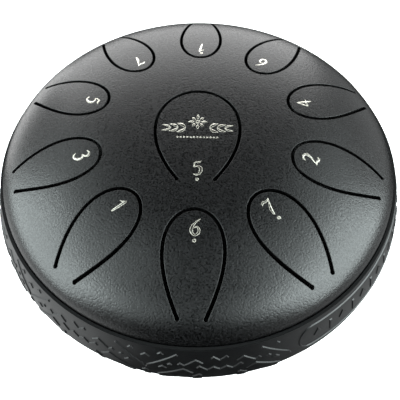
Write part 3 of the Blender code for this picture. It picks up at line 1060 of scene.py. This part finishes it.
def speckled(name, grain, tints, roughness, bump, wear=None, metallic=0.0, specular=0.5):
    """A material whose tint, roughness and bump follow one noise, its grain.

    grain is a scale and a detail, roughness a low and a high value, and bump a strength and a distance.
    wear is a second noise, which then gives the roughness.
    """
    material, tree, shader, coords = new_material(name)
    speck = noise(tree, coords, *grain)
    tree.links.new(ramp(tree, speck, *tints), shader.inputs["Base Color"])
    rough = noise(tree, coords, *wear) if wear else speck
    tree.links.new(map_range(tree, rough, NOISE_SPAN, roughness), shader.inputs["Roughness"])
    shader.inputs["Metallic"].default_value = metallic
    shader.inputs["Specular IOR Level"].default_value = specular
    add_bump(tree, shader, speck, *bump)
    return material


def band_rubber():
    tints = ((0.3, (0.0022, 0.0022, 0.0024)), (0.7, (0.0045, 0.0045, 0.0048)))
    return speckled("moulded_rubber", (900, 3.0), tints, (0.33, 0.42), (0.25, 0.0001), wear=(60, 2.0))


def lip_in_painted_shade():
    """The band's flat lip, in a darker, matt copy of the band's rubber with little shine: painted shade
    that keeps it nearly black.
    """
    tints = ((0.3, (0.0012, 0.0012, 0.0013)), (0.7, (0.0024, 0.0024, 0.0026)))
    return speckled("lip_painted_shade", (900, 3.0), tints, (0.60, 0.72), (0.25, 0.0001), specular=0.12)


def moulded_feet():
    tints = ((0.3, (0.010, 0.010, 0.011)), (0.7, (0.018, 0.018, 0.019)))
    return speckled("foot_rubber", (1500, 3.0), tints, (0.55, 0.70), (0.3, 0.0001))


def rim_painted_highlight():
    """The bright rough rim of each engraved stroke: a pale, dull copy of the etched metal, painted
    highlight along the strokes' sloping sides.
    """
    tints = ((0.35, (0.42, 0.39, 0.33)), (0.65, (0.74, 0.70, 0.61)))
    return speckled("rim_painted_highlight", (1200, 2.0), tints, (0.45, 0.65), (0.3, 0.00005))


def etched_metal():
    tints = ((0.35, (0.62, 0.59, 0.52)), (0.65, (0.90, 0.88, 0.80)))
    return speckled("etched_metal", (900, 2.0), tints, (0.14, 0.26), (0.25, 0.00005), metallic=1.0)


def zinc_plate():
    tints = ((0.3, (0.42, 0.43, 0.46)), (0.7, (0.66, 0.67, 0.69)))
    return speckled("zinc_plate", (700, 3.0), tints, (0.25, 0.45), (0.15, 0.00005), metallic=1.0)


# ---------------- camera, light and floor

CAMERA_PLACE = (0.00606, -0.15762, 0.29581)
CAMERA_AIM = (-0.01646, 0.50971, -0.86019)
CAMERA_LENS = 36.37
CAMERA_ROLL = math.radians(-0.498)


def make_camera():
    data = bpy.data.cameras.new("camera")
    data.lens = CAMERA_LENS
    data.clip_start = 0.01
    camera = bpy.data.objects.new("camera", data)
    bpy.context.scene.collection.objects.link(camera)
    turn = Vector(CAMERA_AIM).to_track_quat("-Z", "Y").to_matrix().to_4x4()
    camera.matrix_world = Matrix.Translation(CAMERA_PLACE) @ turn @ Matrix.Rotation(CAMERA_ROLL, 4, "Z")
    bpy.context.scene.camera = camera


def smooth_step(tree, source, low, high, value, base=0.0):
    """base below low and value above high; with low over high it runs the other way."""
    if low > high:
        return map_range(tree, source, (high, low), (value, base), "SMOOTHSTEP")
    return map_range(tree, source, (low, high), (base, value), "SMOOTHSTEP")


def combine(tree, operation, first, second=None):
    node = tree.nodes.new("ShaderNodeMath")
    node.operation = operation
    tree.links.new(first, node.inputs[0])
    if second is not None:
        tree.links.new(second, node.inputs[1])
    return node.outputs["Value"]


def product(tree, first, *others):
    for other in others:
        first = combine(tree, "MULTIPLY", first, other)
    return first


def make_world():
    """A dim room: pale walls at both sides, a paler floor beside the drum, and a faint glow behind.

    It is dark in front and overhead. To the camera it is plain white.
    """
    world = bpy.data.worlds.new("studio")
    bpy.context.scene.world = world
    world.use_nodes = True
    tree = world.node_tree
    coords = tree.nodes.new("ShaderNodeTexCoord")
    split = tree.nodes.new("ShaderNodeSeparateXYZ")
    tree.links.new(coords.outputs["Generated"], split.inputs["Vector"])
    x, y, z = (split.outputs[axis] for axis in "XYZ")
    sides = smooth_step(tree, combine(tree, "ABSOLUTE", x), 0.26, 0.80, 1.0)
    walls = product(tree, sides, smooth_step(tree, z, -0.20, 0.10, 0.70))
    near_floor = product(
        tree,
        sides,
        smooth_step(tree, z, 0.10, -0.20, 1.3),
        smooth_step(tree, y, 0.50, 0.10, 1.0),
        smooth_step(tree, x, -0.30, 0.30, 0.45, base=1.0),
    )
    behind = product(
        tree,
        smooth_step(tree, y, 0.15, 0.75, 0.35),
        smooth_step(tree, z, 0.80, 0.55, 1.0),
        smooth_step(tree, z, -0.35, 0.05, 1.0),
    )
    total = combine(tree, "ADD", combine(tree, "ADD", walls, near_floor), behind)
    path = tree.nodes.new("ShaderNodeLightPath")
    total = combine(tree, "MAXIMUM", total, path.outputs["Is Camera Ray"])
    background = tree.nodes["Background"]
    background.inputs["Color"].default_value = (0.97, 1.0, 1.0, 1.0)
    tree.links.new(total, background.inputs["Strength"])


FLOOR_REACH = 6.0
FLOOR_DROP = 0.0001
# The floor's painted shadow under the drum: fully dark inside the first radius, and gone by the second.
FLOOR_SHADOW_RADIUS = 0.080
FLOOR_SHADOW_END_RADIUS = 0.114


def make_floor():
    """A pale floor that glows like a light table, but not under the drum, where its dark patch is a painted
    shadow. It can't be seen from below.
    """
    mesh = bpy.data.meshes.new("floor")
    corners = [(x * FLOOR_REACH, y * FLOOR_REACH, 0) for x, y in ((-1, -1), (1, -1), (1, 1), (-1, 1))]
    mesh.from_pydata(corners, [], [(0, 1, 2, 3)])
    floor = bpy.data.objects.new("floor", mesh)
    bpy.context.scene.collection.objects.link(floor)
    material, tree, shader, coords = new_material("pale_floor")
    tint = ramp(tree, noise(tree, coords, 40, 2.0), (0.3, (0.78, 0.78, 0.78)), (0.7, (0.82, 0.82, 0.82)))
    distance = tree.nodes.new("ShaderNodeVectorMath")
    distance.operation = "LENGTH"
    tree.links.new(coords.outputs["Object"], distance.inputs[0])
    # glow is 0 under the drum and 1 beyond it. It paints the shadow under the drum into both the floor's
    # glow and its base colour.
    glow = smooth_step(tree, distance.outputs["Value"], FLOOR_SHADOW_RADIUS, FLOOR_SHADOW_END_RADIUS, 1.0)
    tree.links.new(glow, shader.inputs["Emission Strength"])
    pale = tree.nodes.new("ShaderNodeVectorMath")
    pale.operation = "SCALE"
    tree.links.new(tint, pale.inputs[0])
    tree.links.new(glow, pale.inputs["Scale"])
    tree.links.new(pale.outputs["Vector"], shader.inputs["Base Color"])
    shader.inputs["Roughness"].default_value = 0.9
    shader.inputs["Emission Color"].default_value = (1, 1, 1, 1)
    geometry = tree.nodes.new("ShaderNodeNewGeometry")
    clear = tree.nodes.new("ShaderNodeBsdfTransparent")
    sides = tree.nodes.new("ShaderNodeMixShader")
    tree.links.new(geometry.outputs["Backfacing"], sides.inputs["Fac"])
    tree.links.new(shader.outputs["BSDF"], sides.inputs[1])
    tree.links.new(clear.outputs["BSDF"], sides.inputs[2])
    tree.links.new(sides.outputs["Shader"], tree.nodes["Material Output"].inputs["Surface"])
    mesh.materials.append(material)
    floor.location.z = -FLOOR_DROP
    floor.visible_glossy = False
    floor.visible_shadow = False


def add_softbox(name, azimuth, elevation, distance, size, radiance, colour=(1, 1, 1)):
    """A rectangular light that faces the drum, placed by its direction from it in degrees."""
    azimuth, elevation = math.radians(azimuth), math.radians(elevation)
    flat = math.cos(elevation)
    direction = Vector((flat * math.cos(azimuth), flat * math.sin(azimuth), math.sin(elevation)))
    middle = Vector((0, 0, RIM_Z))
    place = middle + distance * direction
    light = bpy.data.lights.new(name, "AREA")
    light.shape = "RECTANGLE"
    light.size, light.size_y = size
    light.energy = radiance * math.pi * size[0] * size[1]
    light.color = colour
    obj = bpy.data.objects.new(name, light)
    bpy.context.scene.collection.objects.link(obj)
    obj.location = place
    obj.rotation_mode = "QUATERNION"
    obj.rotation_quaternion = (middle - place).to_track_quat("-Z", "Y")


COOL = (0.89, 1.0, 1.0)
SEED = 7


def make_studio():
    make_camera()
    make_world()
    make_floor()
    add_softbox("softbox_left", 190, 30, 1.2, (1.15, 0.95), 6.9, COOL)
    add_softbox("softbox_right", -15, 33, 1.2, (1.15, 0.95), 7.6, COOL)
    add_softbox("wing_left", -135, 48, 1.2, (0.80, 0.60), 1.9, COOL)
    add_softbox("wing_right", -46, 50, 1.2, (0.80, 0.60), 1.9, COOL)
    add_softbox("wing_back_left", 152, 47, 1.2, (0.60, 0.40), 1.6, COOL)
    add_softbox("wing_back_right", 30, 49, 1.2, (0.60, 0.40), 1.9, COOL)
    add_softbox("overhead_left", 184, 66, 1.2, (0.46, 0.50), 2.0, COOL)
    add_softbox("overhead_right", -4, 66, 1.2, (0.46, 0.50), 1.8, COOL)
    add_softbox("panel_back", 95, 18, 1.6, (1.9, 1.1), 3.0)
    add_softbox("panel_back_left", 141, -2, 1.2, (0.75, 0.50), 2.6)
    bpy.context.scene.view_settings.view_transform = "Standard"


def main():
    make_studio()
    coat, rubber, zinc = powder_coat(), band_rubber(), zinc_plate()
    foot_rubber, etched = moulded_feet(), (etched_metal(), rim_painted_highlight())
    random = np.random.default_rng(SEED)
    tongues = tongue_sizes()
    make_top_shell(tongues, coat)
    for tongue in tongues:
        make_tongue(tongue, coat)
        make_numeral(tongue, etched, random)
        if tongue["body"] == CENTRE_NAME:
            make_ornament(tongue, etched)
    make_bottom_shell(coat)
    make_band(rubber, lip_in_painted_shade())
    for number in range(1, 5):
        make_foot(number, foot_rubber)
        make_foot_screw(number, zinc)
    for name, node in frame["nodes"].items():
        metal = "screw" in name or "nut" in name
        node.data.materials.clear()
        node.data.materials.append(zinc if metal else rubber)


main()
